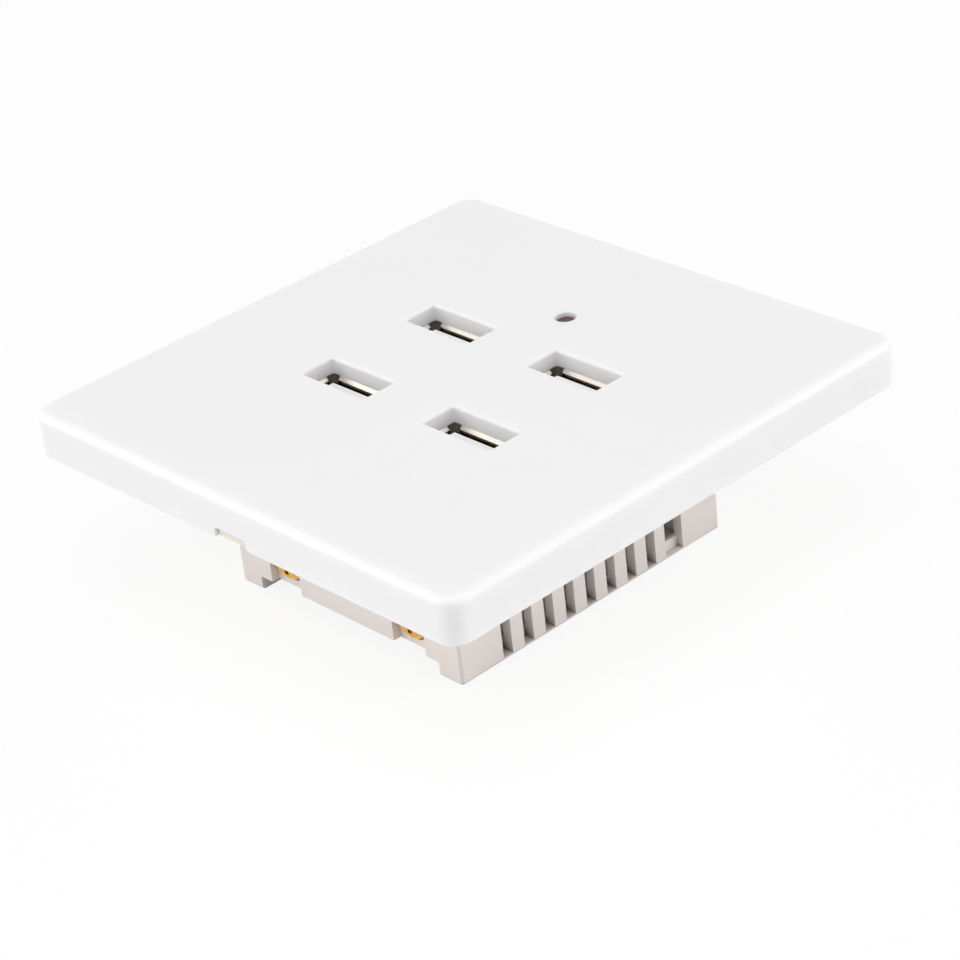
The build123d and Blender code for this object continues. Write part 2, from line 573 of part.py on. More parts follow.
def indicator_led():
    """Flat-topped LED with a flange and two leads."""
    lens = rod(LED_R, LED_BASE_Z, FACE_Z - LED_RECESS)
    lens = fillet(lens.edges().group_by(Axis.Z)[-1], LED_EDGE_R)
    lens += rod(LED_R + SLIDE_GAP, LED_BASE_Z, LED_BASE_Z + LED_FLANGE)
    for side in SIDES:
        lens += Pos(side * LED_LEAD_PITCH / 2) * block(LEAD, LEAD, BOARD_BACK_Z - SOLDER_TAIL, LED_BASE_Z)
    return Pos(0, LED_Y) * lens


def terminal_screw():
    """Captive clamp screw: cross-driven head, shank, and a neck peened behind the bar."""
    head_y = BOX_LOW_Y + HEAD_INSET
    shank_y = head_y + HEAD_THICK
    shoulder_y = BAR_Y - FLAT_GAP
    peen_y = BAR_Y + BAR_THICK + FLAT_GAP
    end_y = peen_y + PEEN_THICK
    screw = turned([(0, head_y), (HEAD_R - HEAD_BEVEL, head_y), (HEAD_R, head_y + HEAD_BEVEL),
                    (HEAD_R, shank_y), (SHANK_R, shank_y), (SHANK_R, shoulder_y), (NECK_R, shoulder_y),
                    (NECK_R, peen_y), (PEEN_R, peen_y), (PEEN_R - PEEN_THICK / 2, end_y), (0, end_y)])
    for turn in CROSS:
        screw -= Rot(0, 0, turn) * block(DRIVE_LENGTH, DRIVE_WIDTH, head_y, head_y + DRIVE_DEPTH)
    return Pos(0, 0, TERMINAL_Z) * Rot(-90, 0, 0) * screw


def clamp_cage():
    """Square loop that the screw draws up to press the wire against the bar."""
    half = CAGE_HEIGHT / 2
    side_x = CAGE_WIDTH / 2
    loop = slab(-side_x, side_x, CAGE_Y, CAGE_END_Y + CAGE_END, -half, half)
    loop = fillet(loop.edges().filter_by(Axis.Z), CAGE_SIDE)
    loop -= slab(CAGE_SIDE - side_x, side_x - CAGE_SIDE, CAGE_Y + CAGE_NUT, CAGE_END_Y, -half, half)
    loop -= Rot(-90, 0, 0) * rod(SHANK_R + SLIDE_GAP, CAGE_Y, CAGE_Y + CAGE_NUT)
    return Pos(0, 0, TERMINAL_Z) * loop


def terminal_bar():
    """Flat bar inside the cage, with ears in the box walls and a solder tail in the board."""
    foot = TERMINAL_Z - CAGE_HEIGHT / 2 + SLIDE_GAP
    tail_z = BOARD_FRONT_Z + SOLDER_TAIL
    right = [(BAR_WIDTH / 2, foot), (BAR_WIDTH / 2, EAR_Z), (BAR_EAR_WIDTH / 2, EAR_Z),
             (BAR_EAR_WIDTH / 2, GUIDE_TOP_Z), (BAR_TAIL_WIDTH / 2, GUIDE_TOP_Z),
             (BAR_TAIL_WIDTH / 2, tail_z)]
    left = [(-x, z) for x, z in reversed(right)]
    bar = Pos(0, BAR_Y + BAR_THICK / 2) * wall_profile(right + left, BAR_THICK)
    neck_hole = Rot(-90, 0, 0) * rod(NECK_R + SLIDE_GAP, BAR_Y, BAR_Y + BAR_THICK)
    return bar - Pos(0, 0, TERMINAL_Z) * neck_hole


def pan_screw(shank_r, length, head_r, head_thick):
    """Self-tapping pan-head screw, its head standing on z = 0 and the shank below."""
    drive = head_r * PAN_DRIVE
    screw = turned([(0, -length), (shank_r * POINT_TIP, -length), (shank_r, POINT_TAPER * shank_r - length),
                    (shank_r, 0), (head_r, 0), (head_r, head_thick * PAN_SIDE),
                    (head_r * PAN_TOP, head_thick), (0, head_thick)])
    for turn in CROSS:
        screw -= Rot(0, 0, turn) * block(2 * drive, drive / 2, head_thick / 2, head_thick)
    return screw


def case_screws():
    """Screws that hold the rear box to the frame, driven from the front."""
    screw = pan_screw(CASE_SCREW_R, CASE_SCREW_LENGTH, CASE_HEAD_R, CASE_HEAD_THICK)
    return copies(Pos(0, 0, FRAME_THICK) * screw, CORNER_PLACES)


def board_screws():
    """Screws that hold the board to the frame posts, driven from behind."""
    screw = pan_screw(BOARD_SCREW_R, BOARD_SCREW_LENGTH, BOARD_HEAD_R, BOARD_HEAD_THICK)
    return copies(Pos(0, 0, BOARD_BACK_Z) * Rot(180, 0, 0) * screw, BOARD_POST_PLACES)


def transformer_core():
    """Pair of E cores lying flat, closed into a figure of eight."""
    outline = Rectangle(CORE_WIDTH, CORE_LENGTH)
    for side in SIDES:
        outline -= Pos(side * (CORE_CENTRE + CORE_WINDOW) / 2) * Rectangle(CORE_WINDOW, CORE_SPAN)
    return behind(Pos(0, 0, CORE_LIFT) * extrude(outline, CORE_THICK), 0, CORE_Y)


def transformer_bobbin():
    """Bobbin tube and flanges round the centre leg, on two pin rails."""
    half = BOBBIN_SPAN / 2
    flange = Pos(0, FLANGE_HEIGHT / 2) * Rectangle(FLANGE_WIDTH, FLANGE_HEIGHT)
    rail = Pos(0, RAIL_HEIGHT / 2) * Rectangle(RAIL_WIDTH, RAIL_HEIGHT)
    hole = Rectangle(CORE_CENTRE + 2 * SEAT_GAP, CORE_THICK + 2 * SEAT_GAP)
    bobbin = along_y(Pos(0, CORE_MID_Z) * Rectangle(TUBE_WIDTH, TUBE_HEIGHT), -half, half)
    for turn in (0, 180):
        bobbin += Rot(0, 0, turn) * along_y(flange, half - FLANGE_THICK, half)
        bobbin += Rot(0, 0, turn) * along_y(rail, half - FLANGE_THICK, CORE_LENGTH / 2)
    bobbin -= along_y(Pos(0, CORE_MID_Z) * hole, -half, half)
    return behind(bobbin, 0, CORE_Y)


def transformer_winding():
    """Taped winding between the bobbin flanges."""
    span = BOBBIN_SPAN / 2 - FLANGE_THICK - SEAT_GAP
    outer = RectangleRounded(FLANGE_WIDTH - WINDING_MARGIN, FLANGE_HEIGHT - 2 * WINDING_MARGIN,
                             WINDING_CORNER_R)
    inner = Rectangle(TUBE_WIDTH + 2 * THREAD_GAP, TUBE_HEIGHT + 2 * THREAD_GAP)
    return behind(along_y(Pos(0, CORE_MID_Z) * (outer - inner), -span, span), 0, CORE_Y)


def transformer_pins():
    """Pins from the bobbin rails through the board."""
    return copies(block(PIN_WIDTH, PIN_WIDTH, BOARD_BACK_Z, BOARD_FRONT_Z + SOLDER_TAIL), PIN_PLACES)


def can(radius, length):
    """Capacitor can standing on z = 0: bung, crimped groove and rounded top."""
    bead = radius / 8
    return turned([(0, 0), (radius - bead, 0), (radius - bead, bead), (radius, 2 * bead),
                   (radius, 3 * bead), (radius - bead, 4 * bead), (radius, 5 * bead),
                   (radius, length - bead), (radius - bead, length), (0, length)])


def input_capacitor(x, y, turn):
    """Can lying on the board, its leads bent down into it."""
    reach = INPUT_CAN_LENGTH / 2
    end = reach + LEAD_REACH
    body = Pos(reach, 0, INPUT_CAN_R) * Rot(0, -90, 0) * can(INPUT_CAN_R, INPUT_CAN_LENGTH)
    for side in SIDES:
        low_y = side * INPUT_CAN_R / 2 - LEAD / 2
        body += slab(reach, end, low_y, low_y + LEAD, INPUT_CAN_R - LEAD, INPUT_CAN_R)
        body += slab(end - LEAD, end, low_y, low_y + LEAD, 0, INPUT_CAN_R)
    return behind(Rot(0, 0, turn) * body, x, y)


def interference_capacitor():
    """Coated disc standing on two leads."""
    middle = DISC_R + DISC_LIFT
    disc = Pos(0, DISC_THICK / 2, middle) * Rot(90, 0, 0) * rod(DISC_R, 0, DISC_THICK)
    disc = chamfer(disc.edges(), DISC_THICK / 4)
    for side in SIDES:
        disc += Pos(side * DISC_R / 2) * block(LEAD, LEAD, 0, middle)
    return behind(disc, 0, DISC_Y)


def fuse():
    """Box fuse with rounded upright edges."""
    return behind(block(FUSE_WIDTH, FUSE_LENGTH, 0, FUSE_HEIGHT, FUSE_CORNER_R), 0, FUSE_Y)


def choke_core():
    """Ferrite drum: two discs on a waist."""
    top = CHOKE_HEIGHT - CHOKE_DISC
    waist = CHOKE_R * CHOKE_WAIST
    drum = turned([(0, 0), (CHOKE_R, 0), (CHOKE_R, CHOKE_DISC), (waist, CHOKE_DISC), (waist, top),
                   (CHOKE_R, top), (CHOKE_R, CHOKE_HEIGHT), (0, CHOKE_HEIGHT)])
    return behind(drum, CHOKE_X, UPPER_ROW_Y)


def choke_coil():
    """Copper coil in the waist of the drum."""
    low_z = CHOKE_DISC + THREAD_GAP
    high_z = CHOKE_HEIGHT - CHOKE_DISC - THREAD_GAP
    coil = rod(CHOKE_R * CHOKE_COIL, low_z, high_z)
    coil -= rod(CHOKE_R * CHOKE_WAIST + THREAD_GAP, low_z, high_z)
    return behind(coil, CHOKE_X, UPPER_ROW_Y)


def chip(size, leads):
    """Surface-mount package: tapered body on a row of leads along each long side."""
    width, length, height = size
    body = Pos(0, 0, CHIP_STANDOFF) * extrude(Rectangle(width, length), height - CHIP_STANDOFF,
                                              taper=CHIP_TAPER)
    pitch = width / leads
    lead = block(pitch / 2, CHIP_LEAD_REACH + CHIP_LEAD_ROOT, 0, CHIP_LEAD_THICK)
    shift = (length + CHIP_LEAD_REACH - CHIP_LEAD_ROOT) / 2
    for spot in range(leads):
        for side in SIDES:
            body += Pos((spot - (leads - 1) / 2) * pitch, side * shift) * lead
    return body


def port_chips():
    """Charge-control chips on the front of the board, one between each pair of ports."""
    places = [Pos(0, side * PORT_PITCH_Y / 2, BOARD_FRONT_Z) for side in SIDES]
    return copies(chip(PORT_CHIP_SIZE, 3), places)


def chip_resistors():
    """Chip resistors on the front of the board, beside the chips and above the upper one."""
    width, length, height = RESISTOR_SIZE
    piece = block(width, length, BOARD_FRONT_Z, BOARD_FRONT_Z + height)
    rows = (-PORT_PITCH_Y / 2, PORT_PITCH_Y / 2, PORT_PITCH_Y / 2 + RESISTOR_SHIFT_Y)
    return copies(piece, [Pos(side * RESISTOR_SHIFT_X, y) for side in SIDES for y in rows])


def board_hole(width, length):
    """Cutter for a rectangular hole through the board."""
    return block(width + 2 * FLAT_GAP, length + 2 * FLAT_GAP, BOARD_BACK_Z, BOARD_FRONT_Z)


def main_board():
    """Board with round cut-outs at the corner posts and a hole for all that passes through it."""
    board = block(BOARD_WIDTH, BOARD_LENGTH, BOARD_BACK_Z, BOARD_FRONT_Z)
    for place in CORNER_PLACES:
        board -= place * rod(CORNER_POST_R + POST_GAP, BOARD_BACK_Z, BOARD_FRONT_Z)
    for place in BOARD_POST_PLACES:
        board -= place * rod(BOARD_SCREW_R + FLAT_GAP, BOARD_BACK_Z, BOARD_FRONT_Z)
    tail_y = CONTACT_BACK_Y - CONTACT_THICK / 2
    for place in PORT_PLACES:
        for x in CONTACT_XS:
            board -= place * Pos(x, tail_y) * board_hole(CONTACT_WIDTH, CONTACT_THICK)
        for side in SIDES:
            board -= place * Pos(side * LEG_X) * board_hole(SHELL_WALL, SHELL_LEG_WIDTH)
    for place in PIN_PLACES:
        board -= place * board_hole(PIN_WIDTH, PIN_WIDTH)
    for side in SIDES:
        board -= Pos(side * LED_LEAD_PITCH / 2, LED_Y) * board_hole(LEAD, LEAD)
        bar_place = Pos(side * TERMINAL_X, BAR_Y + BAR_THICK / 2)
        board -= bar_place * board_hole(BAR_TAIL_WIDTH, BAR_THICK)
    return board


pieces = {
    "front_cover": front_cover(),
    "mounting_frame": mounting_frame(),
    "rear_box": rear_box(),
    "main_board": main_board(),
    "indicator_led": indicator_led(),
    "case_screws": case_screws(),
    "board_screws": board_screws(),
    "transformer_core": transformer_core(),
    "transformer_bobbin": transformer_bobbin(),
    "transformer_winding": transformer_winding(),
    "transformer_pins": transformer_pins(),
    "input_capacitor_1": input_capacitor(-SIDE_X, 0, 90),
    "input_capacitor_2": input_capacitor(INPUT_CAN_LENGTH / 2 - UPPER_ROW_X, UPPER_ROW_Y, 0),
    "interference_capacitor": interference_capacitor(),
    "fuse": fuse(),
    "choke_core": choke_core(),
    "choke_coil": choke_coil(),
    "bridge_rectifier": behind(chip(BRIDGE_SIZE, 2), 0, BRIDGE_Y),
    "controller_chip": behind(chip(CONTROLLER_SIZE, 4), SIDE_X, CONTROLLER_Y),
    "output_diode": behind(chip(DIODE_SIZE, 1), SIDE_X, DIODE_Y),
    "optocoupler": behind(Rot(0, 0, 90) * chip(OPTO_SIZE, 2), OPTO_X, UPPER_ROW_Y),
    "port_chips": port_chips(),
    "chip_resistors": chip_resistors(),
}
for number in (1, 2):
    can_x = OUTPUT_CAN_X + (number - 1) * (2 * OUTPUT_CAN_R + PART_GAP)
    pieces[f"output_capacitor_{number}"] = behind(can(OUTPUT_CAN_R, OUTPUT_CAN_LENGTH), can_x, 0)
for number, place in enumerate(PORT_PLACES, start=1):
    pieces[f"usb_shell_{number}"] = place * usb_shell()
    pieces[f"usb_insulator_{number}"] = place * usb_insulator()
    pieces[f"usb_contacts_{number}"] = place * usb_contacts()
for name, side in (("live", -1), ("neutral", 1)):
    pieces[f"terminal_screw_{name}"] = Pos(side * TERMINAL_X) * terminal_screw()
    pieces[f"clamp_cage_{name}"] = Pos(side * TERMINAL_X) * clamp_cage()
    pieces[f"terminal_bar_{name}"] = Pos(side * TERMINAL_X) * terminal_bar()

os.makedirs("parts", exist_ok=True)
for name, piece in pieces.items():
    export_step(piece, f"parts/{name}.step")
    print(f"{name}: {len(piece.solids())} solid(s), {piece.volume:.1f} mm3")
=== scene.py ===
# %% [markdown]
# # A flush wall socket with USB charging ports
# The real socket is a white moulded plate that snaps over a frame, with a vented box of
# warm grey plastic behind it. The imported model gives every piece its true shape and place,
# so this lesson is about finish: what each piece is made of, and what light it is seen in.

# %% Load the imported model
import json
import math

import bpy
import numpy as np
from mathutils import Matrix, Vector


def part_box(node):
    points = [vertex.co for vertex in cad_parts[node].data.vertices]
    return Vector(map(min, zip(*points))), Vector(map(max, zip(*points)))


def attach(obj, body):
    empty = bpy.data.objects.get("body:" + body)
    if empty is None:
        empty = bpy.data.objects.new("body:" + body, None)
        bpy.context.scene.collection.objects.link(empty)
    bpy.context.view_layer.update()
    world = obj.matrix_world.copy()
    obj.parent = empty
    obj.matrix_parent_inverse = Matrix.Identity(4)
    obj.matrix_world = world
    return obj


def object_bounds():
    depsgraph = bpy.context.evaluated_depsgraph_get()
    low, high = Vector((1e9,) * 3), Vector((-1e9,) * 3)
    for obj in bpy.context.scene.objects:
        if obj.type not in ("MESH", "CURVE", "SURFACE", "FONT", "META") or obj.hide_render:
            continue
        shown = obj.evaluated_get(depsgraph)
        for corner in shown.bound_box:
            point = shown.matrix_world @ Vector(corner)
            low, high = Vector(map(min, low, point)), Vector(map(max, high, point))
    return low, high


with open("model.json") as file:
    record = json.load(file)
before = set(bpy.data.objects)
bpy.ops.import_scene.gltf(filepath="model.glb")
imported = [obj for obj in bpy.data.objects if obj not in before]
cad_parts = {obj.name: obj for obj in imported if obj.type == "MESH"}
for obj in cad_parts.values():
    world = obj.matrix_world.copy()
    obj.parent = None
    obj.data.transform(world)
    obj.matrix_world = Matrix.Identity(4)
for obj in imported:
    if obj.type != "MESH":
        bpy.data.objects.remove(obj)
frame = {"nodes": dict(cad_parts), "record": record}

cad_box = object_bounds()
nodes = frame["nodes"]
MM = 0.001

# %% [markdown]
# ## Colours and nodes
# Colours are written as the eye reads them on a screen, as sRGB hex values. The shader works
# in linear light, so one function turns them over. Another adds a node, sets what is constant
# and links what is not, and every material below is built with it.

# %% Colour and node helpers
WHITE = (1.0, 1.0, 1.0, 1.0)


def linear(hex_colour):
    """sRGB hex to linear RGBA: c / 12.92 near black, else ((c + 0.055) / 1.055) to the power 2.4."""
    levels = np.array([int(hex_colour[i:i + 2], 16) for i in (1, 3, 5)]) / 255
    light = np.where(levels <= 0.04045, levels / 12.92, ((levels + 0.055) / 1.055) ** 2.4)
    return (*light, 1.0)


def add(tree, kind, settings=None, inputs=None):
    """Add a node. An input that is given a socket is linked to it, any other is set."""
    node = tree.nodes.new(kind)
    for name, value in (settings or {}).items():
        setattr(node, name, value)
    for name, value in (inputs or {}).items():
        if isinstance(value, bpy.types.NodeSocket):
            tree.links.new(value, node.inputs[name])
        else:
            node.inputs[name].default_value = value
    return node


def new_material(name):
    """Empty node material, its tree and the Object coordinates that its patterns read."""
    material = bpy.data.materials.new(name)
    material.use_nodes = True
    tree = material.node_tree
    tree.nodes.clear()
    return material, tree, add(tree, "ShaderNodeTexCoord").outputs["Object"]


def finish_material(material, tree, inputs):
    """Close a material with one Principled shader."""
    shader = add(tree, "ShaderNodeBsdfPrincipled", inputs=inputs)
    add(tree, "ShaderNodeOutputMaterial", inputs={"Surface": shader.outputs["BSDF"]})
    print("material", material.name)
    return material


# %% [markdown]
# ## Patterns
# Five small functions stand for the nodes that come back in every finish: a noise and a wave at
# a real size in millimetres, a range, a mix of two colours and a bump. Each returns the socket
# that the next one reads.

# %% Pattern helpers
WAVE_BAND = math.pi / 10


def per_mm(size_mm):
    """Texture scale at which one cell of a pattern is size_mm across in Object coordinates."""
    return 1 / (size_mm * MM)


def noise(tree, place, size_mm, detail, roughness=0.5):
    """Noise from 0 to 1 with cells of size_mm."""
    return add(tree, "ShaderNodeTexNoise", inputs={
        "Vector": place, "Scale": per_mm(size_mm), "Detail": detail, "Roughness": roughness}).outputs["Fac"]


def wave(tree, place, size_mm, axis, distortion=0.0):
    """Waves from 0 to 1 across an axis, size_mm apart: at scale 1 they are 2 pi / 20 apart."""
    return add(tree, "ShaderNodeTexWave", {"bands_direction": axis}, {
        "Vector": place, "Scale": per_mm(size_mm) * WAVE_BAND, "Distortion": distortion,
        "Detail": 2.0}).outputs["Fac"]


def ranged(tree, value, source=(0.0, 1.0), target=(0.0, 1.0)):
    """Carry a value from a source range to a target range, held at both ends."""
    return add(tree, "ShaderNodeMapRange", inputs={
        "Value": value, "From Min": source[0], "From Max": source[1],
        "To Min": target[0], "To Max": target[1]}).outputs["Result"]


def between(tree, share, first, second):
    """Colour from first at share 0 to second at share 1. Each is a hex value or a socket."""
    ends = [linear(end) if isinstance(end, str) else end for end in (first, second)]
    return add(tree, "ShaderNodeMix", {"data_type": "RGBA"}, {
        "Factor": share, "A": ends[0], "B": ends[1]}).outputs["Result"]


def bumped(tree, height, depth_mm, strength):
    """Normal over a relief that is depth_mm deep."""
    return add(tree, "ShaderNodeBump", inputs={
        "Height": height, "Distance": depth_mm * MM, "Strength": strength}).outputs["Normal"]


# %% [markdown]
# ## Moulded plastic
# Nearly all of the socket is injection-moulded. A mould leaves a fine spark-eroded grain, a
# little cloudiness where the melt flowed, and a gloss that changes slightly from spot to spot.
# Two noises give that: a broad one for colour and gloss, and a fine one for the grain.
#
# White plastic also lets light in, which subsurface scattering gives. Narrow gaps get a painted
# shade: ambient occlusion, the share of nearby space that is open, mixes in a darker colour.

# %% Moulded plastic
CLOUD_MM, SHEEN = 14.0, 0.08
LIGHT_REACH, LIGHT_TINT = 1.5 * MM, (1.0, 0.95, 0.92)
GAP_REACH, GAP_SHARES, GAP_SAMPLES = 3.0 * MM, (0.1, 0.5), 8


def moulded_plastic(name, light, dark, roughness, grain_mm, relief_mm, glow=0.0, painted_gap_shade=None):
    """Plastic between two close colours, with cloudy gloss, a bump of grain and light inside it.

    The last argument is a painted shade: the colour that it takes where nearby walls leave it little open
    space.
    """
    material, tree, place = new_material(name)
    cloud = noise(tree, place, CLOUD_MM, detail=3.0, roughness=0.55)
    grain = noise(tree, place, grain_mm, detail=2.0)
    colour = between(tree, cloud, dark, light)
    # Painted shade: where ambient occlusion finds little open space, the colour turns to the darker one.
    if painted_gap_shade:
        space = add(tree, "ShaderNodeAmbientOcclusion", {"samples": GAP_SAMPLES}, {"Distance": GAP_REACH})
        colour = between(tree, ranged(tree, space.outputs["AO"], source=GAP_SHARES), painted_gap_shade, colour)
    return finish_material(material, tree, {
        "Base Color": colour,
        "Roughness": ranged(tree, cloud, target=(roughness - SHEEN, roughness + SHEEN)),
        "IOR": 1.5, "Normal": bumped(tree, grain, relief_mm, strength=0.6),
        "Subsurface Weight": glow, "Subsurface Radius": LIGHT_TINT, "Subsurface Scale": LIGHT_REACH})


finishes = {
    # White ABS off a satin tool: an even white with a soft sheen
    "cover_plastic": moulded_plastic("White ABS, satin mould", "#F4F3F4", "#F1F0F1",
                                     roughness=0.5, grain_mm=0.5, relief_mm=0.004, glow=0.6),
    # Cream polycarbonate, unpigmented enough to look warm beside the cover; near-black painted shade in
    # gaps
    "frame_plastic": moulded_plastic("Cream polycarbonate", "#F0E6DA", "#E9DED1",
                                     roughness=0.45, grain_mm=0.4, relief_mm=0.006, painted_gap_shade="#15110E"),
    # Warm grey polycarbonate with the fine matt grain of a spark-eroded tool; grey-brown painted shade in
    # gaps
    "box_plastic": moulded_plastic("Warm grey polycarbonate", "#F5EEEB", "#F1E9E5",
                                   roughness=0.5, grain_mm=0.35, relief_mm=0.008, painted_gap_shade="#6A5D56"),
    # White glass-filled nylon that holds the contacts
    "insulator": moulded_plastic("White glass-filled nylon", "#F5F3F0", "#EEECE8",
                                 roughness=0.5, grain_mm=0.3, relief_mm=0.006),
    # Black phenolic bobbin
    "bobbin_plastic": moulded_plastic("Black phenolic", "#2A2725", "#1F1D1C",
                                      roughness=0.5, grain_mm=0.3, relief_mm=0.008),
    # Brown fuse case
    "fuse_body": moulded_plastic("Brown fuse case", "#6A3A26", "#5A2F1F",
                                 roughness=0.42, grain_mm=0.4, relief_mm=0.006),
    # Black moulding compound of the chips
    "chip_body": moulded_plastic("Black moulding compound", "#2B2B2D", "#222224",
                                 roughness=0.6, grain_mm=0.15, relief_mm=0.008),
}

# %% [markdown]
# ## Metal
# The shells are nickel-plated strip, the screws and bars brass, the cages zinc-plated steel.
# Rolling and drawing leave faint streaks along one axis, so the noise is stretched with a
# Mapping node before it changes the gloss, and a broader noise dulls patches of the plating.
# The shells also get a painted shade below their lips, dark brown down the tube: the height Z
# of a point mixes the two, and no second material is needed.

# %% Metal
GLOSS_SPREAD, STREAK_DEPTH_MM = 0.3, 0.004


def worked_metal(name, light, dark, roughness, streak_mm, stretch, patch_mm, painted_depth_shade=None):
    """Metal between two close tints, with streaks drawn out along Z and patches of duller plating.

    The last argument is a painted shade: a colour with the heights at which it is all that shows and at
    which it is gone.
    """
    material, tree, place = new_material(name)
    drawn = add(tree, "ShaderNodeMapping", inputs={"Vector": place, "Scale": (1.0, 1.0, 1 / stretch)})
    streak = noise(tree, drawn.outputs["Vector"], streak_mm, detail=2.0)
    colour = between(tree, noise(tree, place, patch_mm, detail=3.0), dark, light)
    # Painted shade: below the mouth the colour turns to a dark shade by the height Z of a point.
    if painted_depth_shade:
        shade_colour, deep_z, bright_z = painted_depth_shade
        height = add(tree, "ShaderNodeSeparateXYZ", inputs={"Vector": place}).outputs["Z"]
        colour = between(tree, ranged(tree, height, source=(deep_z, bright_z)), shade_colour, colour)
    glosses = (roughness * (1 - GLOSS_SPREAD), roughness * (1 + GLOSS_SPREAD))
    return finish_material(material, tree, {
        "Base Color": colour, "Roughness": ranged(tree, streak, target=glosses), "Metallic": 1.0,
        "Normal": bumped(tree, streak, STREAK_DEPTH_MM, strength=0.5)})


# Depths below the mouth of the shells at which their painted shade is full and at which it starts.
FULL_SHADE_DEPTH, SHADE_START_DEPTH = 1.0 * MM, 0.5 * MM
mouth_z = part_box("usb_shell_1")[1].z
finishes.update({
    # Bright nickel: a warm mirror-like grey on the lips, with a dark brown painted shade down the tube
    "nickel_shell": worked_metal("Nickel-plated steel strip", "#F4EDE3", "#E6DDD0",
                                 roughness=0.2, streak_mm=0.2, stretch=12.0, patch_mm=3.0,
                                 painted_depth_shade=("#38312B", mouth_z - FULL_SHADE_DEPTH, mouth_z - SHADE_START_DEPTH)),
    # Gold flash over bronze
    "gold_contact": worked_metal("Gold-plated bronze", "#F0C66E", "#E2B255",
                                 roughness=0.22, streak_mm=0.15, stretch=10.0, patch_mm=1.5),
    # Turned brass, slightly darkened in patches
    "brass": worked_metal("Turned brass", "#EFC45E", "#C8902F",
                          roughness=0.24, streak_mm=0.15, stretch=4.0, patch_mm=1.2),
    # Zinc plate, bluish and a little dull
    "zinc_steel": worked_metal("Zinc-plated steel", "#D3D8DD", "#B9BFC6",
                               roughness=0.34, streak_mm=0.2, stretch=6.0, patch_mm=2.0),
    # Tinned pins and leads
    "tinned_copper": worked_metal("Tinned copper", "#DADAD6", "#C6C5C0",
                                  roughness=0.3, streak_mm=0.15, stretch=8.0, patch_mm=1.0),
    # Enamelled winding wire
    "copper_wire": worked_metal("Enamelled copper", "#D98A5A", "#B9683B",
                                roughness=0.28, streak_mm=0.3, stretch=1.0, patch_mm=2.0),
})

# %% [markdown]
# ## Pieces inside
# The parts behind the vents and under the cover each have one feature that the eye knows them
# by: the weave of the board, the speckle of ferrite, the layers of winding tape, the sleeve of
# a capacitor. Each is one texture at its real size.

# %% Board, ferrite, tape, sleeve, coating and lens
YARN_MM, SPECKLE_MM = 0.5, 0.35


def board_laminate():
    """Green solder mask over woven glass: two crossed waves at the pitch of the glass yarn."""
    material, tree, place = new_material("Glass-epoxy laminate")
    weave = add(tree, "ShaderNodeMath", {"operation": "MULTIPLY"}, {
        0: wave(tree, place, YARN_MM, "X"), 1: wave(tree, place, YARN_MM, "Y")}).outputs["Value"]
    return finish_material(material, tree, {
        "Base Color": between(tree, weave, "#17552F", "#21693C"), "Roughness": 0.32,
        "Normal": bumped(tree, weave, depth_mm=0.01, strength=0.4)})


def sintered_ferrite():
    """Dark grey ceramic with a speckle of coarser grains."""
    material, tree, place = new_material("Sintered ferrite")
    speckle = add(tree, "ShaderNodeTexVoronoi", inputs={
        "Vector": place, "Scale": per_mm(SPECKLE_MM)}).outputs["Distance"]
    return finish_material(material, tree, {
        "Base Color": between(tree, speckle, "#2B2B2E", "#3A3A3E"), "Roughness": 0.62,
        "Normal": bumped(tree, speckle, depth_mm=0.02, strength=0.5)})


def layered_film(name, light, dark, roughness, layer_mm):
    """Glossy film in thin layers: waves across Z, one layer wide."""
    material, tree, place = new_material(name)
    layers = wave(tree, place, layer_mm, "Z", distortion=1.5)
    return finish_material(material, tree, {
        "Base Color": between(tree, layers, dark, light), "Roughness": roughness,
        "Normal": bumped(tree, layers, depth_mm=0.03, strength=0.5)})


def dipped_coating(name, light, dark, roughness, ripple_mm, coat):
    """Glossy dipped or moulded epoxy with a slow ripple, under a clear coat of some weight."""
    material, tree, place = new_material(name)
    ripple = noise(tree, place, ripple_mm, detail=1.0)
    return finish_material(material, tree, {
        "Base Color": between(tree, ripple, dark, light), "Roughness": roughness, "IOR": 1.52,
        "Coat Weight": coat, "Coat Roughness": 0.08,
        "Normal": bumped(tree, ripple, depth_mm=0.03, strength=0.4)})


finishes.update({
    "board": board_laminate(),
    "ferrite": sintered_ferrite(),
    "winding_tape": layered_film("Yellow polyester tape", "#F0CB3A", "#D9AE22",
                                 roughness=0.3, layer_mm=1.2),
    "can_sleeve": layered_film("Dark shrink sleeve", "#262C3C", "#1B2030", roughness=0.3, layer_mm=2.4),
    "disc_coating": dipped_coating("Blue dipped epoxy", "#2F6FB4", "#245C9B",
                                   roughness=0.25, ripple_mm=1.2, coat=0.5),
    "led_lens": dipped_coating("Unlit red epoxy lens", "#52202F", "#451826",
                               roughness=0.3, ripple_mm=1.0, coat=0.0),
})

# %% [markdown]
# ## Dressing the model
# The record says which slot each node takes, so the nodes are dressed straight from it.

# %% Assign the finishes
slot_of = {part["node"]: part["material_slot"] for part in frame["record"]["subparts"]}
for name, piece in nodes.items():
    piece.data.materials.clear()
    piece.data.materials.append(finishes[slot_of[name]])
print(f"{len(nodes)} nodes dressed in {len(finishes)} finishes")

# %% [markdown]
# ## Pieces from rings
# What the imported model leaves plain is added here: a lug, a thread and the turns of a coil. All
# three are a section carried along a line, so each is worked out as an array of rings, and one
# function skins the rings with quads and closes both ends.

# %% Skin and dress


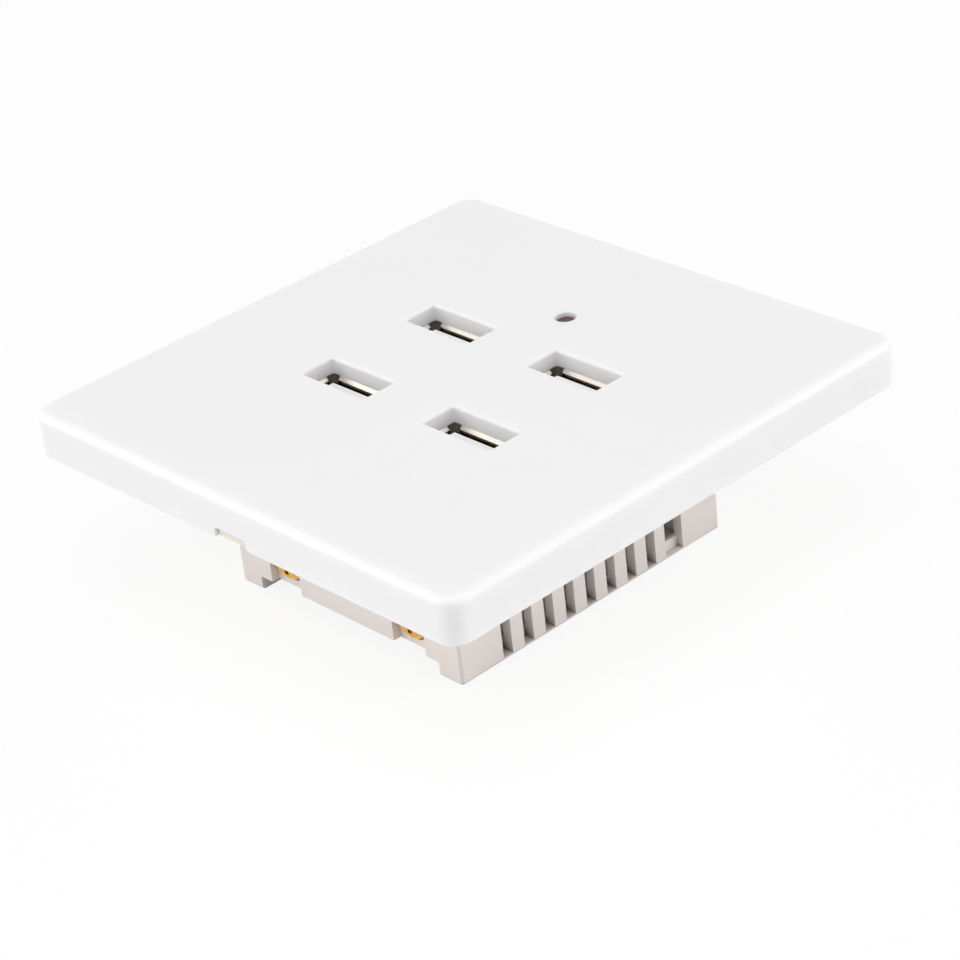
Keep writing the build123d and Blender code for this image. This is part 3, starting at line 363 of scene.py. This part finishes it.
def skin(name, rings):
    """Closed piece over an array (ring, point, xyz).

    Faces turn outwards if a step to the next ring, crossed with a step to the next point, does.
    """
    corner = np.arange(rings.size // 3).reshape(rings.shape[:2])
    beside = np.roll(corner, -1, axis=1)
    walls = np.stack([corner[:-1], corner[1:], beside[1:], beside[:-1]], axis=-1).reshape(-1, 4)
    mesh = bpy.data.meshes.new(name)
    mesh.from_pydata(rings.reshape(-1, 3).tolist(), [],
                     walls.tolist() + [corner[0].tolist(), corner[-1, ::-1].tolist()])
    piece = bpy.data.objects.new(name, mesh)
    bpy.context.scene.collection.objects.link(piece)
    print(f"{name}: {len(mesh.polygons)} faces")
    return piece


def dress(piece, slot, body):
    """Give a new piece its finish and the body that it moves with."""
    piece.data.materials.append(finishes[slot])
    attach(piece, body)


# %% [markdown]
# ## Lug in the pry notch
# The cover is prised off with a screwdriver at a notch in its low side, against a lug of the
# cream frame that shows in the notch. A beveled cube would do; a bar with rounded edges is also
# one formula, a rounded rectangle that shrinks round a quarter circle at both ends.

# %% Pry lug
EDGE_STEPS, LAST_TURN = 6, math.radians(80)


def rounded_bar(name, low, high, radius):
    """Box with rounded edges, its rings along X.

    A ring at turn a past the straight run lies radius sin a beyond it. Its half sizes are smaller
    by radius (1 - cos a), and its corners are arcs of radius cos a.
    """
    middle, half = (low + high) / 2, (high - low) / 2
    turn = np.linspace(0, LAST_TURN, EDGE_STEPS)
    a = np.concatenate([-turn[::-1], turn])[:, None]
    end = np.repeat([-1, 1], EDGE_STEPS)[:, None]
    q = (np.arange(4 * EDGE_STEPS) + 0.5) * np.pi / (2 * EDGE_STEPS)
    flat = half - radius
    x = end * flat[0] + radius * np.sin(a)
    y = np.sign(np.cos(q)) * flat[1] + radius * np.cos(a) * np.cos(q)
    z = -np.sign(np.sin(q)) * flat[2] - radius * np.cos(a) * np.sin(q)
    return skin(name, middle + np.stack(np.broadcast_arrays(x, y, z), axis=-1))


LUG_WIDTH, LUG_HEIGHT = 6.0 * MM, 1.1 * MM
LUG_SETBACK, LUG_OVERLAP, LUG_EDGE = 0.5 * MM, 0.4 * MM, 0.2 * MM
cover_low, frame_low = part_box("front_cover")[0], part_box("mounting_frame")[0]
lug_low = np.array([-LUG_WIDTH / 2, cover_low.y + LUG_SETBACK, cover_low.z])
lug_high = np.array([LUG_WIDTH / 2, frame_low.y + LUG_OVERLAP, cover_low.z + LUG_HEIGHT])
lug = rounded_bar("pry_lug", lug_low, lug_high, LUG_EDGE)
dress(lug, "frame_plastic", "base")

# %% [markdown]
# ## Threads and turns
# The clamp screws have a rolled thread, and the choke's coil is wound from enamelled wire. A Screw
# modifier could make them, but a ridge on a helix is one formula: a small section carried round an
# axis while it climbs. A pointed section gives the thread and a round one the wire.

# %% Ridges on a helix
STEPS_PER_TURN = 48
FADE_ANGLE, LEAST_FADE = math.pi / 2, 0.05


def wound_ridge(name, start, first, second, radius, pitch, turns, section):
    """Closed ridge on a helix that climbs along first x second.

    At angle t, the section's point (out, along) lies radius + k out from the axis, towards
    first cos t + second sin t, and pitch t / 2 pi + k along past the start. k is 1, and fades
    towards both ends.
    """
    t = np.linspace(0, 2 * np.pi * turns, int(STEPS_PER_TURN * turns))[:, None]
    k = np.clip(np.minimum(t, t[-1] - t) / FADE_ANGLE, LEAST_FADE, 1)
    out, along = np.array(section).T
    first, second = np.array(first), np.array(second)
    reach = radius + k * out
    climb = pitch * t / (2 * np.pi) + k * along
    points = (np.array(start) + (reach * np.cos(t))[..., None] * first
              + (reach * np.sin(t))[..., None] * second + climb[..., None] * np.cross(first, second))
    return skin(name, points)


# %% [markdown]
# ## Thread of the clamp screws
# The thread runs from under the head to the bar that holds the screw. Its pitch is the distance
# that the cage climbs in one turn, and its crest stays clear of the hole in the cage.

# %% Thread
X_AXIS, Y_AXIS, Z_AXIS = np.eye(3)
PITCH, SHANK_R, HEAD_THICK = 0.6 * MM, 1.75 * MM, 1.6 * MM
CREST, CREST_FLAT, ROOT, SUNK = 0.2 * MM, 0.04 * MM, 0.24 * MM, 0.05 * MM
tooth = [(-SUNK, -ROOT), (CREST, -CREST_FLAT), (CREST, CREST_FLAT), (-SUNK, ROOT)]

for side in ("live", "neutral"):
    low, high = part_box(f"terminal_screw_{side}")
    under_head = low.y + HEAD_THICK
    bar_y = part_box(f"terminal_bar_{side}")[0].y
    start = ((low.x + high.x) / 2, under_head + PITCH / 2, (low.z + high.z) / 2)
    thread = wound_ridge(f"thread_{side}", start, Z_AXIS, X_AXIS, SHANK_R, PITCH,
                         (bar_y - under_head) / PITCH - 1, tooth)
    dress(thread, "brass", f"{side}_screw")

# %% [markdown]
# ## Turns of the choke
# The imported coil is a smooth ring. One layer of round wire, sunk to half its thickness in the
# ring, gives it the ribbed look of a winding. The turns lie side by side, a diameter apart.

# %% Wire turns
WIRE_R, WIRE_SIDES = 0.22 * MM, 10
angle = np.linspace(0, 2 * np.pi, WIRE_SIDES, endpoint=False)
round_wire = WIRE_R * np.stack([np.cos(angle), np.sin(angle)], axis=1)

low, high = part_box("choke_coil")
start = ((low.x + high.x) / 2, (low.y + high.y) / 2, low.z + WIRE_R)
turns = wound_ridge("choke_turns", start, X_AXIS, Y_AXIS, (high.x - low.x) / 2, 2 * WIRE_R,
                    (high.z - low.z) / (2 * WIRE_R) - 1, round_wire)
turns.data.polygons.foreach_set("use_smooth", np.ones(len(turns.data.polygons), dtype=bool))
dress(turns, "copper_wire", "base")

# %% [markdown]
# ## Table
# The socket lies on a white table, on the back of its box. The table is a pale matt sheet that
# throws light back under the plate. For the camera, and for what metal mirrors, most of it is a
# plain white of strength one: it reads as a white background and still keeps a soft shadow.

# %% Table
FLOOR_HALF = 3.0
TABLE_GLOW = 0.88
floor_z = cad_box[0].z
floor_mesh = bpy.data.meshes.new("white_table")
corners = FLOOR_HALF * np.array([(-1, -1), (1, -1), (1, 1), (-1, 1)])
floor_mesh.from_pydata([(x, y, floor_z) for x, y in corners], [], [(0, 1, 2, 3)])
floor = bpy.data.objects.new("white_table", floor_mesh)
bpy.context.scene.collection.objects.link(floor)


def seen_directly(tree):
    """1 on the camera's own rays and on those that metal or glass sends on, else 0."""
    ray = add(tree, "ShaderNodeLightPath").outputs
    eye = add(tree, "ShaderNodeMath", {"operation": "MAXIMUM"}, {
        0: ray["Is Camera Ray"], 1: ray["Is Glossy Ray"]})
    return add(tree, "ShaderNodeMath", {"operation": "MAXIMUM"}, {
        0: eye.outputs["Value"], 1: ray["Is Transmission Ray"]}).outputs["Value"]


table_material, table_tree, _ = new_material("White matt table")
paper = add(table_tree, "ShaderNodeBsdfDiffuse", inputs={"Color": linear("#FAFAFA")})
glow = add(table_tree, "ShaderNodeEmission", inputs={"Color": WHITE, "Strength": 1.0})
share = add(table_tree, "ShaderNodeMath", {"operation": "MULTIPLY"}, {
    0: seen_directly(table_tree), 1: TABLE_GLOW})
both = add(table_tree, "ShaderNodeMixShader", inputs={
    0: share.outputs["Value"], 1: paper.outputs["BSDF"], 2: glow.outputs["Emission"]})
add(table_tree, "ShaderNodeOutputMaterial", inputs={"Surface": both.outputs["Shader"]})
floor_mesh.materials.append(table_material)
print(f"table at {floor_z / MM:.1f} mm")

# %% [markdown]
# ## White room
# A pale dome fills the shadows. It is bright enough to light the socket only a little, and where
# it is looked at, directly or in metal, it is plain white.

# %% World
DOME_LIGHT = 0.3
world = bpy.data.worlds.new("White studio")
bpy.context.scene.world = world
world.use_nodes = True
world_tree = world.node_tree
world_tree.nodes.clear()
dome = add(world_tree, "ShaderNodeBackground", inputs={"Color": WHITE, "Strength": DOME_LIGHT})
wall = add(world_tree, "ShaderNodeBackground", inputs={"Color": WHITE, "Strength": 1.0})
sky = add(world_tree, "ShaderNodeMixShader", inputs={
    0: seen_directly(world_tree), 1: dome.outputs["Background"], 2: wall.outputs["Background"]})
add(world_tree, "ShaderNodeOutputWorld", inputs={"Surface": sky.outputs["Shader"]})
print("world", world.name)

# %% [markdown]
# ## Soft boxes
# A white object on white needs light that differs a little from side to side. One large box
# hangs over the face, and one stands low to each side, turned so far out that the near corner
# between the two lit sides stays a shade darker, as it is in the picture.

# %% Soft boxes


def direction(azimuth, elevation):
    """Unit vector towards an azimuth from -Y, turning to +X, and an elevation, in degrees."""
    turn, rise = math.radians(azimuth), math.radians(elevation)
    return Vector((math.sin(turn) * math.cos(rise), -math.cos(turn) * math.cos(rise), math.sin(rise)))


def soft_box(name, azimuth, elevation, distance, width, watts):
    """Square area lamp that faces the socket from a direction."""
    lamp = bpy.data.lights.new(name, "AREA")
    lamp.shape = "SQUARE"
    lamp.size = width
    lamp.energy = watts
    stand = bpy.data.objects.new(name, lamp)
    towards = direction(azimuth, elevation)
    stand.location = distance * towards
    stand.rotation_mode = "QUATERNION"
    stand.rotation_quaternion = (-towards).to_track_quat("-Z", "Y")
    bpy.context.scene.collection.objects.link(stand)
    print(f"{name}: {watts} W at {distance} m")


soft_box("overhead", azimuth=40, elevation=72, distance=1.0, width=1.1, watts=7.2)
soft_box("left_box", azimuth=-40, elevation=13, distance=0.9, width=0.6, watts=3.5)
soft_box("right_box", azimuth=132, elevation=13, distance=0.9, width=0.6, watts=3.4)

# %% [markdown]
# ## Camera
# The picture looks down on the face from the low right corner, with a long lens and a slight
# tilt of the horizon. The angles, the distance and the point aimed at place the camera.

# %% Camera
AZIMUTH, ELEVATION, ROLL = 49.177, 29.289, -6.735
DISTANCE = 0.42314
AIM = Vector((0.00006, 0.0013, -0.011))
LENS_MM, SENSOR_MM = 111.72, 36.0

back = direction(AZIMUTH, ELEVATION)
camera_data = bpy.data.cameras.new("photo_camera")
camera_data.lens = LENS_MM
camera_data.sensor_width = SENSOR_MM
camera = bpy.data.objects.new("photo_camera", camera_data)
level = (-back).to_track_quat("-Z", "Y").to_matrix().to_4x4()
tilt = Matrix.Rotation(math.radians(ROLL), 4, "Z")
camera.matrix_world = Matrix.Translation(AIM + DISTANCE * back) @ level @ tilt
bpy.context.scene.collection.objects.link(camera)
bpy.context.scene.camera = camera
print("camera at", [round(value, 4) for value in camera.location])

# %% [markdown]
# ## View transform
# New pieces may not make the socket larger than the imported model. The plain view transform shows
# the colours as they were mixed.

# %% View transform
bpy.context.scene.view_settings.view_transform = "Standard"
bpy.context.view_layer.update()
